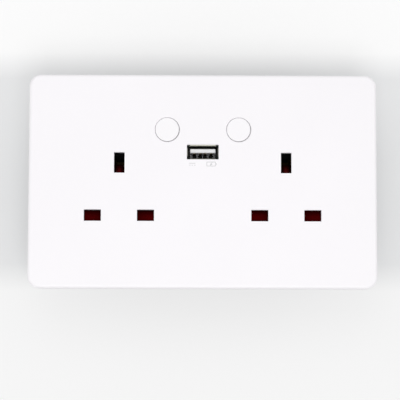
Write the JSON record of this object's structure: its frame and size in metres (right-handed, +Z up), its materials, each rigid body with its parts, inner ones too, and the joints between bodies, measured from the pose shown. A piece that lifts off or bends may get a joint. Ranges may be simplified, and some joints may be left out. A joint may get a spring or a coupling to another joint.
{
  "type": "usb wall socket",
  "caption": "Flat white double wall outlet with shuttered rectangular pin slots, round push switches and a USB charging port, on a steel frame with a rear housing.",
  "frame": {"origin": "centre of the wall plane, level with the back of the plate's rim", "axes": "+Y into the wall, so the front faces -Y; +X to the right and +Z up, as fixed on a wall"},
  "size_m": [0.146, 0.0386, 0.09],
  "materials": {
    "plate_white": "fine satin moulding",
    "button_white": "fine satin moulding",
    "shutter_red": "dark red moulding",
    "galvanised_steel": "galvanised sheet",
    "moulding_black": "plain moulding",
    "cover_black": "plain moulding",
    "zinc_screw": "zinc plated",
    "brass_strip": "stamped sheet",
    "brass_terminal": "machined",
    "spring_steel": "drawn wire and strip",
    "switch_black": "plain moulding",
    "plunger_white": "plain moulding",
    "copper_bridge": "stamped sheet",
    "silver_contact": "plain silver",
    "usb_nickel": "nickel plated",
    "usb_white": "plain moulding",
    "usb_gold": "gold flash",
    "board_green": "green lacquer",
    "ferrite": "ground ferrite",
    "coil_tape": "yellow tape",
    "can_sleeve": "shrink sleeve",
    "chip_black": "moulded",
    "fuse_body": "lacquer",
    "disc_blue": "dipped"
  },
  "bodies": {
    "socket": {"body_screws": "zinc_screw", "charger_board": "board_green", "contact_rivets": "silver_contact", "controller_chip": "chip_black", "earth_bar": "brass_strip", "earth_strap": "brass_strip", "earth_terminal_left": "brass_terminal", "earth_terminal_right": "brass_terminal", "feed_pins": "brass_strip", "front_plate": "plate_white", "fuse_resistor": "fuse_body", "input_capacitor": "can_sleeve", "latch_pin_left": "spring_steel", "latch_pin_right": "spring_steel", "live_bar": "brass_strip", "live_contact_left": "brass_strip", "live_contact_right": "brass_strip", "live_terminal": "brass_terminal", "mounting_frame": "galvanised_steel", "neutral_bar": "brass_strip", "neutral_terminal": "brass_terminal", "output_capacitor": "can_sleeve", "rear_cover": "cover_black", "rectifier": "chip_black", "safety_capacitor": "disc_blue", "shutter_guide_left": "moulding_black", "shutter_guide_right": "moulding_black", "shutter_spring_left": "spring_steel", "shutter_spring_right": "spring_steel", "socket_body": "moulding_black", "strap_rivet": "brass_strip", "switch_case_left": "switch_black", "switch_case_right": "switch_black", "switch_spring_left": "spring_steel", "switch_spring_right": "spring_steel", "terminal_screws": "brass_terminal", "transformer_bobbin": "switch_black", "transformer_coil": "coil_tape", "transformer_core": "ferrite", "usb_contacts": "usb_gold", "usb_shell": "usb_nickel", "usb_tongue": "usb_white"},
    "shutter_left": {"shutter_left": "shutter_red"},
    "shutter_right": {"shutter_right": "shutter_red"},
    "button_left": {"button_left": "button_white", "switch_plunger_left": "plunger_white", "contact_bridge_left": "copper_bridge"},
    "button_right": {"button_right": "button_white", "switch_plunger_right": "plunger_white", "contact_bridge_right": "copper_bridge"}
  },
  "joints": [
    {"name": "shutter_left_slide", "type": "slide", "parent": "socket", "child": "shutter_left", "axis": [0, 0, -1], "range_m": [0, 0.005], "stiffness_N_per_m": 60, "springref_m": -0.003, "deforming": ["shutter_spring_left"]},
    {"name": "shutter_right_slide", "type": "slide", "parent": "socket", "child": "shutter_right", "axis": [0, 0, -1], "range_m": [0, 0.005], "stiffness_N_per_m": 60, "springref_m": -0.003, "deforming": ["shutter_spring_right"]},
    {"name": "button_left_press", "type": "slide", "parent": "socket", "child": "button_left", "axis": [0, 1, 0], "range_m": [0, 0.0025], "stiffness_N_per_m": 400, "springref_m": -0.002, "deforming": ["switch_spring_left"]},
    {"name": "button_right_press", "type": "slide", "parent": "socket", "child": "button_right", "axis": [0, 1, 0], "range_m": [0, 0.0025], "stiffness_N_per_m": 400, "springref_m": -0.002, "deforming": ["switch_spring_right"]}
  ]
}
